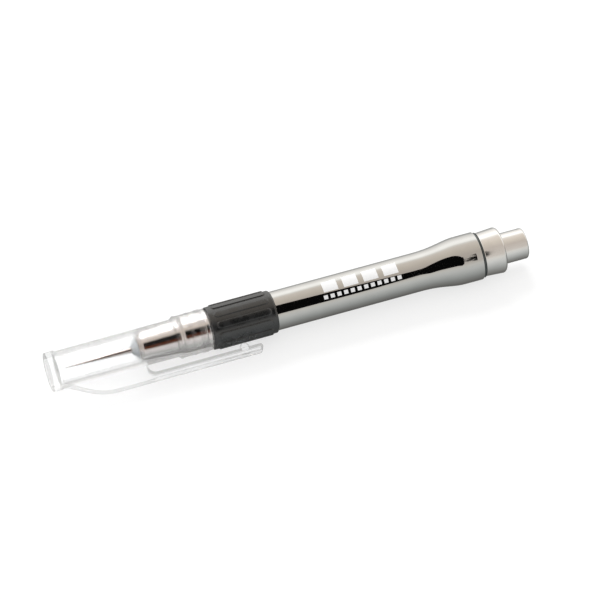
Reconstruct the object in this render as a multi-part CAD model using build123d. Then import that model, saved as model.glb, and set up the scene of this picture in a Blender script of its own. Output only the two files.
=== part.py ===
from build123d import *
import os
from math import cos, radians, sin

# A needle pen with a spring clutch and a clear clip cap, lying on its side.
# Drawing frame: the pen's axis is the X axis, x = 0 is the front end of the
# rubber grip, -X runs to the needle's point, +X to the push button, +Z is up.
# Last of all every piece is moved together, so that the origin is the middle
# of the underside of the whole pen's box. All sizes are in millimetres.

# ---- lengths along the pen -------------------------------------------------
GRIP_LENGTH = 18.6
BARREL_LENGTH = 60.2
RING_LENGTH = 0.7
COLLAR_LENGTH = 6.3
BUTTON_PROUD = 7.2
NOSE_LENGTH = 20.6
TIP_LENGTH = 1.7
NEEDLE_EXPOSED = 18.8

# ---- outside radii ---------------------------------------------------------
NEEDLE_R = 0.72
NOSE_FRONT_R = 3.73
NOSE_BACK_R = 4.4
SEAT_R = 4.87
GRIP_BASE_R = 6.02
BARREL_R = 5.5
BUTTON_R = 4.38

# ---- clearances, each on a radius or along the axis ------------------------
RUNNING = 0.03
SLIDING = 0.05
STOP_GAP = 0.1
LOOSE = 0.4

# ---- nose ------------------------------------------------------------------
NOSE_CHAMFER = 1.2
SEAT_LENGTH = 7.5
SEAT_RAMP = 1.2
SEAT_GROOVE_PLACE = 1.8
SEAT_GROOVE_WIDTH = 0.5
SEAT_GROOVE_DEPTH = 0.15
TIP_FRONT_WALL = 0.41
TIP_BACK_STEP = 0.6
TIP_SHANK_WALL = 1.58
TIP_SHANK_LENGTH = 5.0

# ---- needle and its clutch -------------------------------------------------
NEEDLE_POINT_R = 0.06
NEEDLE_SHANK_LENGTH = 33.5
BUTTON_TRAVEL = 1.8
COLLET_NECK_WALL = 0.88
COLLET_HEAD_STEP = 0.6
COLLET_HEAD_LENGTH = 2.0
COLLET_LENGTH = 14.4
COLLET_THREAD_LENGTH = 5.0
COLLET_JAWS = 3
JAW_SLOT_WIDTH = 0.3
JAW_SLOT_LENGTH = 7.6
CLOSING_RING_LENGTH = 2.6
CLOSING_RING_SET_BACK = 0.2
CLOSING_RING_WALL = 0.7
LOCK_NUT_THICK = 1.2
LOCK_NUT_WALL = 0.7
DRAW_TUBE_WALL = 0.6
DRAW_TUBE_PLAY = 0.28

# ---- grip ------------------------------------------------------------------
RUBBER_THICK = 1.12
CORE_BORE_PLAY = 1.1
CORE_FRONT_WALL = 0.6
CORE_FRONT_LENGTH = 6.0
CORE_REAR_LENGTH = 7.4
GRIP_ROUND = 0.55
RIBS = 12
RIB_FIRST_ANGLE = 15.0
RIB_WIDTH = 1.8
RIB_MARGIN = 1.5
RIB_RISE = 0.28

# ---- return spring and what holds it ---------------------------------------
GUIDE_PLACE = 4.0
GUIDE_LENGTH = 5.7
WASHER_THICK = 0.5
SPRING_LENGTH = 20.0
SPRING_WIRE_R = 0.25
SPRING_PLAY = 0.35
SPRING_TURNS = 11
SPRING_COLLAR_WALL = 1.6
SPRING_COLLAR_LENGTH = 3.0
CLIP_RING_RISE = 1.1
CLIP_RING_THICK = 0.5
CLIP_RING_MOUTH = 2.8
CLIP_GROOVE_DEPTH = 0.3

# ---- barrel, rear collar and button ----------------------------------------
BARREL_WALL = 0.8
FLARE_WALL = 1.23
FLARE_NECK = 0.03
FLARE_START = 19.2
FLARE_LENGTH = 13.6
FLARE_SKEW = 1.5
FLARE_STEPS = 12
FLARE_CROWN = 1.8
BARREL_EDGE = 0.2
RING_RISE = 0.8
COLLAR_RISE = 1.12
COLLAR_SPIGOT_WALL = 0.65
COLLAR_SPIGOT_LENGTH = 7.3
COLLAR_LIP = 3.8
COLLAR_DRAFT = 0.2
COLLAR_ROUND = 0.8
REAR_GUIDE_LENGTH = 4.0
BUTTON_FLANGE = 1.5
BUTTON_FLANGE_RISE = 0.52
BUTTON_SOCKET = 6.6
BUTTON_ROUND = 0.6

# ---- clear cap -------------------------------------------------------------
CAP_POINT_ROOM = 2.5
CAP_FLOOR = 2.4
CAP_MOUTH_GAP = 0.5
CAP_END_RISE = 0.35
CAP_END_THICK = 3.0
CAP_RIM = 0.35
CAP_FRONT_R = 5.15
CAP_FRONT_WALL = 0.85
CAP_BACK_WALL = 0.85
CAP_COLLAR_WALL = 0.93
CAP_COLLAR_LENGTH = 8.9
CAP_COLLAR_RAMP = 0.6
BEAD_R = 0.3
BEAD_SINK = 0.1
BEAD_PLACES = (1.35, 2.2, 4.7, 8.6)

# ---- pocket clip -----------------------------------------------------------
CLIP_ANGLE = 63.0
CLIP_WIDTH = 3.7
CLIP_GRIP_GAP = 2.2
CLIP_THICK = 1.8
CLIP_REACH = 12.6
CLIP_RAMP_START = 2.4
CLIP_RAMP_LENGTH = 14.6
CLIP_WEB_LENGTH = 26.5
CLIP_GAP_ROUND = 1.9
CLIP_TIP_ROUND = 0.85
CLIP_EDGE = 0.35
CLIP_ROOT_SINK = 0.4
CLIP_RAMP_SLOPE = 0.35
NUB_PLACE = 8.3
NUB_R = 1.4
NUB_GAP = 0.35

# ---- places along the axis, worked out from the sizes above ----------------
barrel_end = GRIP_LENGTH + BARREL_LENGTH
collar_front = barrel_end + RING_LENGTH
collar_end = collar_front + COLLAR_LENGTH
button_end = collar_end + BUTTON_PROUD
nose_front = -NOSE_LENGTH
tip_front = nose_front - TIP_LENGTH
needle_point = tip_front - NEEDLE_EXPOSED
cap_end = needle_point - CAP_POINT_ROOM - CAP_FLOOR
cap_mouth = -CAP_MOUTH_GAP
seat_front = -SEAT_LENGTH
head_front = nose_front + TIP_SHANK_LENGTH + BUTTON_TRAVEL + LOOSE
collet_end = head_front + COLLET_LENGTH
tube_front = collet_end - COLLET_THREAD_LENGTH
guide_end = GUIDE_PLACE + GUIDE_LENGTH
spring_front = guide_end + WASHER_THICK
spring_end = spring_front + SPRING_LENGTH
clip_ring_front = spring_end + SPRING_COLLAR_LENGTH
spigot_front = collar_front - COLLAR_SPIGOT_LENGTH
lip_face = collar_end - COLLAR_LIP
button_front = lip_face - STOP_GAP - BUTTON_FLANGE
closing_front = head_front + CLOSING_RING_SET_BACK

# ---- radii that follow from the sizes above --------------------------------
needle_bore_r = NEEDLE_R + RUNNING
tip_shank_r = NEEDLE_R + TIP_SHANK_WALL
collet_neck_r = NEEDLE_R + COLLET_NECK_WALL
collet_head_r = collet_neck_r + COLLET_HEAD_STEP
draw_tube_r = collet_neck_r + DRAW_TUBE_WALL
draw_tube_bore_r = NEEDLE_R + DRAW_TUBE_PLAY
chuck_bore_r = collet_head_r + CLOSING_RING_WALL
tip_back_r = tip_shank_r + TIP_BACK_STEP
core_bore_r = draw_tube_r + CORE_BORE_PLAY
core_front_r = core_bore_r + CORE_FRONT_WALL
core_r = GRIP_BASE_R - RUBBER_THICK
barrel_bore_r = BARREL_R - BARREL_WALL
grip_r = GRIP_BASE_R + RIB_RISE
flange_r = BUTTON_R + BUTTON_FLANGE_RISE
collar_bore_r = flange_r + SLIDING
spigot_r = collar_bore_r + COLLAR_SPIGOT_WALL
ring_r = spigot_r + RING_RISE
collar_r = spigot_r + COLLAR_RISE
flare_r = spigot_r + FLARE_WALL
cap_front_bore_r = CAP_FRONT_R - CAP_FRONT_WALL
cap_back_bore_r = NOSE_BACK_R + SLIDING
cap_seat_bore_r = SEAT_R + SLIDING
cap_collar_r = cap_seat_bore_r + CAP_COLLAR_WALL
clip_inner = grip_r + CLIP_GRIP_GAP
spring_mean_r = draw_tube_r + SPRING_PLAY + SPRING_WIRE_R
cap_end_r = CAP_FRONT_R + CAP_END_RISE


def turned(*outline):
    """Turn an outline of (x, r) points about the pen's axis, closed along it."""
    start, end = outline[0][0], outline[-1][0]
    points = [(start, 0), *outline, (end, 0)]
    kept = [p for i, p in enumerate(points) if i == 0 or p != points[i - 1]]
    return revolve(make_face(Polyline(*kept, close=True)), Axis.X)


def rod(start, end, radius):
    """Return a plain round bar from start to end along the pen's axis."""
    return turned((start, radius), (end, radius))


def tube(start, end, outer, inner):
    """Return a plain tube from start to end along the pen's axis."""
    return rod(start, end, outer) - rod(start, end, inner)


def rims(shape, place, radius):
    """Pick the circular edges of one radius at one place along the axis."""
    near = 1e-3
    circles = shape.edges().filter_by(GeomType.CIRCLE)
    here = circles.filter_by(lambda e: abs(e.center().X - place) < near)
    return here.filter_by(lambda e: abs(e.radius - radius) < near)


# ---- nose ------------------------------------------------------------------
def nose_tip():
    """Satin cone at the very front, pushed into the nose by its shank."""
    cone = turned((tip_front, NEEDLE_R + TIP_FRONT_WALL), (nose_front, tip_back_r))
    shank = rod(nose_front, nose_front + TIP_SHANK_LENGTH, tip_shank_r)
    return cone + shank - rod(tip_front, nose_front + TIP_SHANK_LENGTH, needle_bore_r)


def nose_sleeve():
    """Polished tapered nose with the parallel seat that the cap pushes on to."""
    body = turned(
        (nose_front, tip_back_r),
        (nose_front + NOSE_CHAMFER, NOSE_FRONT_R),
        (seat_front - SEAT_RAMP, NOSE_BACK_R),
        (seat_front, SEAT_R),
        (0, SEAT_R),
    )
    groove = -SEAT_GROOVE_PLACE
    body -= tube(groove, groove + SEAT_GROOVE_WIDTH, SEAT_R + 1, SEAT_R - SEAT_GROOVE_DEPTH)
    body -= rod(nose_front, nose_front + TIP_SHANK_LENGTH, tip_shank_r)
    body -= rod(nose_front + TIP_SHANK_LENGTH, 0, chuck_bore_r)
    return body - rod(-CORE_FRONT_LENGTH, 0, core_front_r)


def closing_ring():
    """Hard ring whose inner cone squeezes the jaws as they are drawn back."""
    end = closing_front + CLOSING_RING_LENGTH
    head_end = head_front + COLLET_HEAD_LENGTH
    bore = turned(
        (head_front, collet_head_r + SLIDING),
        (head_end, collet_neck_r + SLIDING),
        (end, collet_neck_r + SLIDING),
    )
    return rod(closing_front, end, chuck_bore_r) - bore


# ---- needle and clutch -----------------------------------------------------
def needle():
    """Long tapered needle on a plain round shank."""
    return turned(
        (needle_point, NEEDLE_POINT_R),
        (tip_front, NEEDLE_R),
        (tip_front + NEEDLE_SHANK_LENGTH, NEEDLE_R),
    )


def collet():
    """Slotted collet: a tapered head, a slim neck and a threaded tail."""
    head_end = head_front + COLLET_HEAD_LENGTH
    body = turned(
        (head_front, collet_head_r),
        (head_end, collet_neck_r),
        (collet_end, collet_neck_r),
    )
    body -= rod(head_front, collet_end, needle_bore_r)
    upwards = (Align.MIN, Align.CENTER, Align.MIN)
    slot = Box(JAW_SLOT_LENGTH, JAW_SLOT_WIDTH, collet_head_r, align=upwards)
    for jaw in range(COLLET_JAWS):
        body -= Rot(X=jaw * 360 / COLLET_JAWS) * Pos(head_front, 0, 0) * slot
    return body


def collet_lock_nut():
    """Thin nut that locks the collet's thread against the draw tube."""
    hexagon = RegularPolygon(collet_neck_r + LOCK_NUT_WALL, 6, major_radius=False)
    nut = extrude(Plane.YZ.offset(tube_front - LOCK_NUT_THICK) * hexagon, LOCK_NUT_THICK)
    return nut - rod(tube_front - LOCK_NUT_THICK, tube_front, collet_neck_r)


def draw_tube():
    """Tube that carries the collet at its front and the button at its rear."""
    end = button_front + BUTTON_SOCKET
    body = rod(tube_front, end, draw_tube_r)
    body -= rod(tube_front, collet_end, collet_neck_r)
    body -= rod(collet_end, end, draw_tube_bore_r)
    groove_end = clip_ring_front + CLIP_RING_THICK
    return body - tube(clip_ring_front, groove_end, draw_tube_r + 1, draw_tube_r - CLIP_GROOVE_DEPTH)


# ---- grip ------------------------------------------------------------------
def grip_core():
    """Metal tube under the rubber, with a spigot into the nose and the barrel."""
    body = rod(-CORE_FRONT_LENGTH, 0, core_front_r)
    body += rod(0, GRIP_LENGTH, core_r)
    rear = GRIP_LENGTH + CORE_REAR_LENGTH
    body += rod(GRIP_LENGTH, rear, barrel_bore_r)
    return body - rod(-CORE_FRONT_LENGTH, rear, core_bore_r)


def grip_sleeve():
    """Rubber grip with long raised pads all round."""
    base = rod(0, GRIP_LENGTH, GRIP_BASE_R)
    ends = rims(base, 0, GRIP_BASE_R) + rims(base, GRIP_LENGTH, GRIP_BASE_R)
    base = fillet(ends, GRIP_ROUND)
    pad_plan = SlotOverall(GRIP_LENGTH - 2 * RIB_MARGIN, RIB_WIDTH)
    pad = extrude(pad_plan, grip_r + 1)
    for rib in range(RIBS):
        turn = RIB_FIRST_ANGLE + rib * 360 / RIBS
        base += (Rot(X=turn) * Pos(GRIP_LENGTH / 2, 0, 0) * pad) & rod(0, GRIP_LENGTH, grip_r)
    return base - rod(0, GRIP_LENGTH, core_r)


# ---- spring group ----------------------------------------------------------
def front_guide():
    """Bush in the grip core that the draw tube slides through."""
    return tube(GUIDE_PLACE, guide_end, core_bore_r, draw_tube_r + SLIDING)


def spring_washer():
    """Washer between the front bush and the spring."""
    return tube(guide_end, spring_front, core_bore_r - 2 * SLIDING, draw_tube_r + 2 * SLIDING)


def return_spring():
    """Coil spring that draws the collet back into its closing ring."""
    height = SPRING_LENGTH - 2 * SPRING_WIRE_R
    start = spring_front + SPRING_WIRE_R
    path = Helix(height / SPRING_TURNS, height, spring_mean_r, center=(start, 0, 0), direction=(1, 0, 0))
    section = Plane(path @ 0, z_dir=path % 0) * Circle(SPRING_WIRE_R)
    return sweep(section, path=path, is_frenet=True)


def spring_collar():
    """Collar on the draw tube that the spring pushes back."""
    return tube(spring_end, clip_ring_front, draw_tube_r + SPRING_COLLAR_WALL, draw_tube_r)


def retaining_clip():
    """Open ring in the draw tube's groove that holds the spring collar."""
    end = clip_ring_front + CLIP_RING_THICK
    ring = tube(clip_ring_front, end, draw_tube_r + CLIP_RING_RISE, draw_tube_r - CLIP_GROOVE_DEPTH)
    downwards = (Align.MIN, Align.CENTER, Align.MAX)
    mouth = Box(CLIP_RING_THICK, CLIP_RING_MOUTH, draw_tube_r + CLIP_RING_RISE, align=downwards)
    return ring - Pos(clip_ring_front, 0, 0) * mouth


# ---- barrel and rear end ---------------------------------------------------
def flare_rise(share):
    """Height of the swell, 0 to 1, at a share of its length: an S that is steepest late."""
    late = share**FLARE_SKEW
    return late * late * (3 - 2 * late)


def barrel_tube():
    """Main tube: straight, then swelling smoothly to a crown near its rear end."""
    flare_front = barrel_end - FLARE_START
    flare_back = flare_front + FLARE_LENGTH
    neck_r = flare_r - FLARE_NECK
    shares = [step / FLARE_STEPS for step in range(FLARE_STEPS + 1)]
    rise = neck_r - BARREL_R
    points = [(flare_front + FLARE_LENGTH * share, BARREL_R + rise * flare_rise(share)) for share in shares]
    swell = Spline(*points, tangents=[(1, 0), (1, 0)])
    rim_r = neck_r - BARREL_EDGE
    front = Polyline(
        (GRIP_LENGTH, 0),
        (GRIP_LENGTH, BARREL_R - BARREL_EDGE),
        (GRIP_LENGTH + BARREL_EDGE, BARREL_R),
        (flare_front, BARREL_R),
    )
    back = Polyline(
        (flare_back, neck_r),
        (barrel_end - FLARE_CROWN, flare_r),
        (barrel_end - BARREL_EDGE, neck_r),
        (barrel_end, rim_r),
        (barrel_end, 0),
        (GRIP_LENGTH, 0),
    )
    body = revolve(make_face(front + swell + back), Axis.X)
    body -= rod(GRIP_LENGTH, barrel_end, barrel_bore_r)
    return body - rod(spigot_front - LOOSE, barrel_end, spigot_r)


def joint_ring():
    """Dark ring nipped between the barrel and the rear collar."""
    return tube(barrel_end, collar_front, ring_r, spigot_r)


def end_collar():
    """Bright rear collar, screwed into the barrel, that keeps the button in."""
    body = turned((collar_front, collar_r), (collar_end, collar_r - COLLAR_DRAFT))
    body = fillet(rims(body, collar_end, collar_r - COLLAR_DRAFT), COLLAR_ROUND)
    body = chamfer(rims(body, collar_front, collar_r), BARREL_EDGE)
    body += rod(spigot_front, collar_front, spigot_r)
    body -= rod(spigot_front, lip_face, collar_bore_r)
    return body - rod(lip_face, collar_end, BUTTON_R + SLIDING)


def rear_guide():
    """Bush in the collar's spigot that the draw tube slides through."""
    end = spigot_front + REAR_GUIDE_LENGTH
    return tube(spigot_front, end, collar_bore_r, draw_tube_r + SLIDING)


def push_button():
    """Push button with a flange that stops behind the collar's lip."""
    flange = rod(button_front, button_front + BUTTON_FLANGE, flange_r)
    stem = rod(button_front, button_end, BUTTON_R)
    stem = fillet(rims(stem, button_end, BUTTON_R), BUTTON_ROUND)
    return flange + stem - rod(button_front, button_front + BUTTON_SOCKET, draw_tube_r)


# ---- cap -------------------------------------------------------------------
def cap_outside():
    """Outside of the cap's tube: end disc, slim tube and stepped mouth collar."""
    collar_start = cap_mouth - CAP_COLLAR_LENGTH
    back_r = cap_back_bore_r + CAP_BACK_WALL
    disc = rod(cap_end, cap_end + CAP_END_THICK, cap_end_r)
    disc_edges = rims(disc, cap_end, cap_end_r) + rims(disc, cap_end + CAP_END_THICK, cap_end_r)
    body = fillet(disc_edges, CAP_RIM)
    body += turned(
        (cap_end, CAP_FRONT_R),
        (collar_start - CAP_COLLAR_RAMP, back_r),
        (collar_start, cap_collar_r),
        (cap_mouth, cap_collar_r),
    )
    for place in BEAD_PLACES:
        body += Pos(cap_mouth - place, 0, 0) * Rot(Y=90) * Torus(cap_collar_r - BEAD_SINK, BEAD_R)
    return body


def cap_inside():
    """Hollow of the cap, a sliding fit on the nose and its seat."""
    step = seat_front - SEAT_RAMP
    return turned(
        (cap_end + CAP_FLOOR, cap_front_bore_r),
        (step, cap_back_bore_r),
        (seat_front, cap_seat_bore_r),
        (cap_mouth, cap_seat_bore_r),
    )


def clip_plane():
    """Plane with its X along the pen and its Y pointing out to the clip."""
    lean = radians(CLIP_ANGLE)
    return Plane(origin=(0, 0, 0), x_dir=(1, 0, 0), z_dir=(0, cos(lean), -sin(lean)))


def pocket_clip():
    """Clip with a solid ramped root, a long straight bar and a round nub."""
    outer = clip_inner + CLIP_THICK
    root = CAP_FRONT_R - CLIP_ROOT_SINK
    ramp_start = cap_end + CLIP_RAMP_START
    ramp_end = ramp_start + CLIP_RAMP_LENGTH
    web_end = cap_end + CLIP_WEB_LENGTH
    ramp = Spline((ramp_start, root), (ramp_end, outer), tangents=[(1, CLIP_RAMP_SLOPE), (1, 0)])
    rest = Polyline(
        (ramp_end, outer),
        (CLIP_REACH, outer),
        (CLIP_REACH, clip_inner),
        (web_end, clip_inner),
        (web_end, root),
        (ramp_start, root),
    )
    side = make_face(ramp + rest)
    tips = side.vertices().filter_by(lambda v: abs(v.X - CLIP_REACH) < 1e-3)
    side = fillet(tips, CLIP_TIP_ROUND)
    gap = side.vertices().filter_by(lambda v: abs(v.X - web_end) < 1e-3 and v.Y > clip_inner - 1e-3)
    side = fillet(gap, CLIP_GAP_ROUND)
    bar = extrude(side, CLIP_WIDTH / 2, both=True)
    long_edges = bar.edges().filter_by(lambda e: e.center().Y > outer - CLIP_EDGE and e.length > CLIP_REACH)
    bar = fillet(long_edges, CLIP_EDGE)
    return clip_plane().location * bar + clip_nub()


def clip_nub():
    """Round nub under the clip's free end that bears on the pocket's cloth."""
    length = clip_inner - grip_r - NUB_GAP
    ball = Sphere(NUB_R)
    post = Cylinder(NUB_R, length, align=(Align.CENTER, Align.CENTER, Align.MIN))
    nub = Pos(0, 0, NUB_R) * ball + Pos(0, 0, NUB_R) * post
    foot = grip_r + NUB_GAP
    place = cap_mouth + NUB_PLACE
    return Rot(X=180 - CLIP_ANGLE) * Pos(place, 0, foot) * nub


def cap():
    """Clear cap moulded in one piece with its pocket clip."""
    return cap_outside() + pocket_clip() - cap_inside()


PIECES = (
    nose_tip,
    nose_sleeve,
    closing_ring,
    needle,
    collet,
    collet_lock_nut,
    draw_tube,
    grip_core,
    grip_sleeve,
    front_guide,
    spring_washer,
    return_spring,
    spring_collar,
    retaining_clip,
    barrel_tube,
    joint_ring,
    end_collar,
    rear_guide,
    push_button,
    cap,
)


def write_all():
    """Make every piece, move them all to the row's frame and write them."""
    shapes = {piece.__name__: piece() for piece in PIECES}
    boxes = [shape.bounding_box() for shape in shapes.values()]
    side = (min(box.min.Y for box in boxes) + max(box.max.Y for box in boxes)) / 2
    middle = (min(box.min.X for box in boxes) + max(box.max.X for box in boxes)) / 2
    bottom = min(box.min.Z for box in boxes)
    shift = Pos(-middle, -side, -bottom)
    print(f"pen axis at y {-side:.3f} z {-bottom:.3f}, grip front at x {-middle:.3f}")
    os.makedirs("parts", exist_ok=True)
    for name, shape in shapes.items():
        export_step(shift * shape, f"parts/{name}.step")


write_all()
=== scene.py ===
import logging
import math
from collections.abc import Mapping, Sequence
from dataclasses import dataclass, field
from enum import Enum
from typing import Union

import bmesh
import bpy
from mathutils import Matrix, Vector


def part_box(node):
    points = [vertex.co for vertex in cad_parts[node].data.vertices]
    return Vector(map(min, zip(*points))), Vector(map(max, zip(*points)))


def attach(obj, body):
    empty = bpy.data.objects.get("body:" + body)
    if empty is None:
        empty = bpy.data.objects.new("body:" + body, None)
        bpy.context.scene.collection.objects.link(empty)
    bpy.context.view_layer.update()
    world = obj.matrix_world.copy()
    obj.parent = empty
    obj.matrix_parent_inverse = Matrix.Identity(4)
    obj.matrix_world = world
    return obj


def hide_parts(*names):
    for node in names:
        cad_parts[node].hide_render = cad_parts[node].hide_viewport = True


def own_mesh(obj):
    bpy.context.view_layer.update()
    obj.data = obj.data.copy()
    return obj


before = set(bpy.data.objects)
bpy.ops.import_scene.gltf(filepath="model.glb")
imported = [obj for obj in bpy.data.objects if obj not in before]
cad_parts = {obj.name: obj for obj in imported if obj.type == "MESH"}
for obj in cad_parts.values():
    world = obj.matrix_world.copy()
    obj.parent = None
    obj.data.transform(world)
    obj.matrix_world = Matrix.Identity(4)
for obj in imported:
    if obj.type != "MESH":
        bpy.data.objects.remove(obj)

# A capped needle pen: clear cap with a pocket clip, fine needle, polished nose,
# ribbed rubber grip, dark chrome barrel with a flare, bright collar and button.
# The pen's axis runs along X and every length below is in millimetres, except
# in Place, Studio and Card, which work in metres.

LOG = logging.getLogger("needle_pen")
MM = 0.001

Operand = Union["Value", float]
Outline = list[tuple[float, float]]


# ---- node building -----------------------------------------------------------
class Graph:
    """Adds nodes to one node tree."""

    def __init__(self, tree: bpy.types.NodeTree) -> None:
        """Keep the tree that nodes are added to."""
        self.tree = tree

    def node(
        self,
        kind: str,
        settings: Mapping[str, object] | None = None,
        sockets: Mapping[Union[str, int], object] | None = None,
    ) -> bpy.types.Node:
        """Add one node.

        Args:
            kind: the node's type name.
            settings: its properties, set first; "stops" fills a colour ramp.
            sockets: a number, colour, socket or Value for each input.

        Returns:
            The new node.
        """
        made = self.tree.nodes.new(kind)
        for name, value in (settings or {}).items():
            if name == "stops":
                self._fill_ramp(made.color_ramp, value)
            else:
                setattr(made, name, value)
        for key, value in (sockets or {}).items():
            self.feed(made.inputs[key], value)
        return made

    def feed(self, target: bpy.types.NodeSocket, value: object) -> None:
        """Link a socket or Value to target, or set target's own number."""
        source = value.socket if isinstance(value, Value) else value
        if isinstance(source, bpy.types.NodeSocket):
            self.tree.links.new(source, target)
        else:
            target.default_value = source

    def _fill_ramp(self, ramp: bpy.types.ColorRamp, stops: Sequence[tuple]) -> None:
        """Give a colour ramp its (place, colour) stops."""
        while len(ramp.elements) < len(stops):
            ramp.elements.new(1.0)
        for element, (place, colour) in zip(ramp.elements, stops):
            element.position = place
            element.color = colour

    def value(self, source: object, output: Union[str, int] = 0) -> "Value":
        """Wrap a node's output, or a socket, for use in expressions."""
        socket = source.outputs[output] if isinstance(source, bpy.types.Node) else source
        return Value(self, socket)

    def noise(self, place: object, scale: float, detail: float = 2.0, rough: float = 0.5) -> "Value":
        """Noise from 0 to 1 at a scale in cells per metre."""
        sockets = {"Vector": place, "Scale": scale, "Detail": detail, "Roughness": rough}
        return self.value(self.node("ShaderNodeTexNoise", sockets=sockets), 0)

    def stretched(self, place: object, scale: Sequence[float]) -> bpy.types.NodeSocket:
        """Scale a place along each axis, to draw a pattern out."""
        sockets = {"Vector": place, "Scale": tuple(scale)}
        return self.node("ShaderNodeMapping", sockets=sockets).outputs[0]

    def mix_colour(self, amount: object, low: object, high: object) -> bpy.types.NodeSocket:
        """Blend two colours by an amount from 0 to 1."""
        made = self.node("ShaderNodeMix", {"data_type": "RGBA"})
        self.feed(made.inputs[0], amount)
        self.feed(made.inputs[6], low)
        self.feed(made.inputs[7], high)
        return made.outputs[2]

    def bump(self, height: object, strength: float, distance: float, under: object = None) -> bpy.types.NodeSocket:
        """Turn a height into a normal, on top of another normal if one is given."""
        made = self.node("ShaderNodeBump", sockets={"Strength": strength, "Distance": distance})
        self.feed(made.inputs["Height"], height)
        if under is not None:
            self.feed(made.inputs["Normal"], under)
        return made.outputs[0]


def empty_material(name: str) -> tuple[bpy.types.Material, Graph]:
    """Make a material with no nodes, and the graph that fills it."""
    made = bpy.data.materials.new(name)
    made.use_nodes = True
    made.node_tree.nodes.clear()
    return made, Graph(made.node_tree)


def geometry_tree(
    name: str, shape_in: str, sizes: Sequence[str], shape_out: str
) -> tuple[bpy.types.NodeTree, dict[str, str]]:
    """Make a geometry tree with a shape in, named sizes in and a shape out.

    Args:
        name: the tree's name.
        shape_in: the name of its input shape.
        sizes: the names of its number inputs, in order.
        shape_out: the name of its output shape.

    Returns:
        The tree, and each size's identifier by its name.
    """
    tree = bpy.data.node_groups.new(name, "GeometryNodeTree")
    face = tree.interface
    face.new_socket(name=shape_in, in_out="INPUT", socket_type="NodeSocketGeometry")
    ids = {
        size: face.new_socket(name=size, in_out="INPUT", socket_type="NodeSocketFloat").identifier
        for size in sizes
    }
    face.new_socket(name=shape_out, in_out="OUTPUT", socket_type="NodeSocketGeometry")
    return tree, ids


class Value:
    """A number socket whose operators add Math nodes to its graph."""

    def __init__(self, graph: Graph, socket: bpy.types.NodeSocket) -> None:
        """Keep the graph and the socket that the number comes from."""
        self.graph = graph
        self.socket = socket

    def _math(self, operation: str, *terms: Operand) -> "Value":
        """Add a Math node over this and other terms."""
        made = self.graph.node("ShaderNodeMath", {"operation": operation}, dict(enumerate(terms)))
        return Value(self.graph, made.outputs[0])

    def __add__(self, other: Operand) -> "Value":
        """Return self + other."""
        return self._math("ADD", self, other)

    def __radd__(self, other: float) -> "Value":
        """Return other + self."""
        return self._math("ADD", other, self)

    def __sub__(self, other: Operand) -> "Value":
        """Return self - other."""
        return self._math("SUBTRACT", self, other)

    def __rsub__(self, other: float) -> "Value":
        """Return other - self."""
        return self._math("SUBTRACT", other, self)

    def __mul__(self, other: Operand) -> "Value":
        """Return self * other."""
        return self._math("MULTIPLY", self, other)

    def __rmul__(self, other: float) -> "Value":
        """Return other * self."""
        return self._math("MULTIPLY", other, self)

    def __truediv__(self, other: Operand) -> "Value":
        """Return self / other."""
        return self._math("DIVIDE", self, other)

    def __rtruediv__(self, other: float) -> "Value":
        """Return other / self."""
        return self._math("DIVIDE", other, self)

    def __abs__(self) -> "Value":
        """Return the size of self without its sign."""
        return self._math("ABSOLUTE", self)

    def fraction(self) -> "Value":
        """Return the part of self after the point, never negative."""
        return self._math("WRAP", self, 1.0, 0.0)

    def sine(self) -> "Value":
        """Return the sine of self."""
        return self._math("SINE", self)

    def root(self) -> "Value":
        """Return the square root of self."""
        return self._math("SQRT", self)

    def angle_to(self, other: Operand) -> "Value":
        """Return the angle whose tangent is self / other."""
        return self._math("ARCTAN2", self, other)

    def at_least(self, other: Operand) -> "Value":
        """Return the larger of self and other."""
        return self._math("MAXIMUM", self, other)

    def ramp(self, low: float, high: float, to_low: float = 0.0, to_high: float = 1.0) -> "Value":
        """Map low..high smoothly to to_low..to_high."""
        kind = {"interpolation_type": "SMOOTHSTEP"}
        made = self.graph.node("ShaderNodeMapRange", kind, {0: self, 1: low, 2: high, 3: to_low, 4: to_high})
        return Value(self.graph, made.outputs[0])


# ---- place of the pen ----------------------------------------------------------
@dataclass(frozen=True)
class Place:
    """Where the pen lies in the frame.

    Attributes:
        datum: X of the front end of the rubber grip, in metres.
        y: Y of the pen's axis, in metres.
        z: Z of the pen's axis, in metres.
    """

    datum: float
    y: float
    z: float

    @classmethod
    def from_frame(cls) -> "Place":
        """Read the axis from the barrel and the datum from the grip."""
        low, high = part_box("barrel_tube")
        grip_low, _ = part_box("grip_sleeve")
        return cls(grip_low.x, (low.y + high.y) / 2, (low.z + high.z) / 2)

    def point(self, along: float, out: float = 0.0, turn: float = 0.0) -> Vector:
        """Return the frame point at a distance along and out from the axis.

        Args:
            along: millimetres from the grip's front end, positive to the rear.
            out: millimetres out from the axis.
            turn: angle from straight up towards the clip's side, in radians.

        Returns:
            The point in metres.
        """
        y = self.y - out * math.sin(turn) * MM
        z = self.z + out * math.cos(turn) * MM
        return Vector((self.datum + along * MM, y, z))

    def span(self, node: str) -> tuple[float, float]:
        """Return a CAD node's first and last place along the pen, in millimetres."""
        low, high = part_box(node)
        return (low.x - self.datum) / MM, (high.x - self.datum) / MM


# ---- finishes ------------------------------------------------------------------
Colour = tuple[float, float, float, float]


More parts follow.
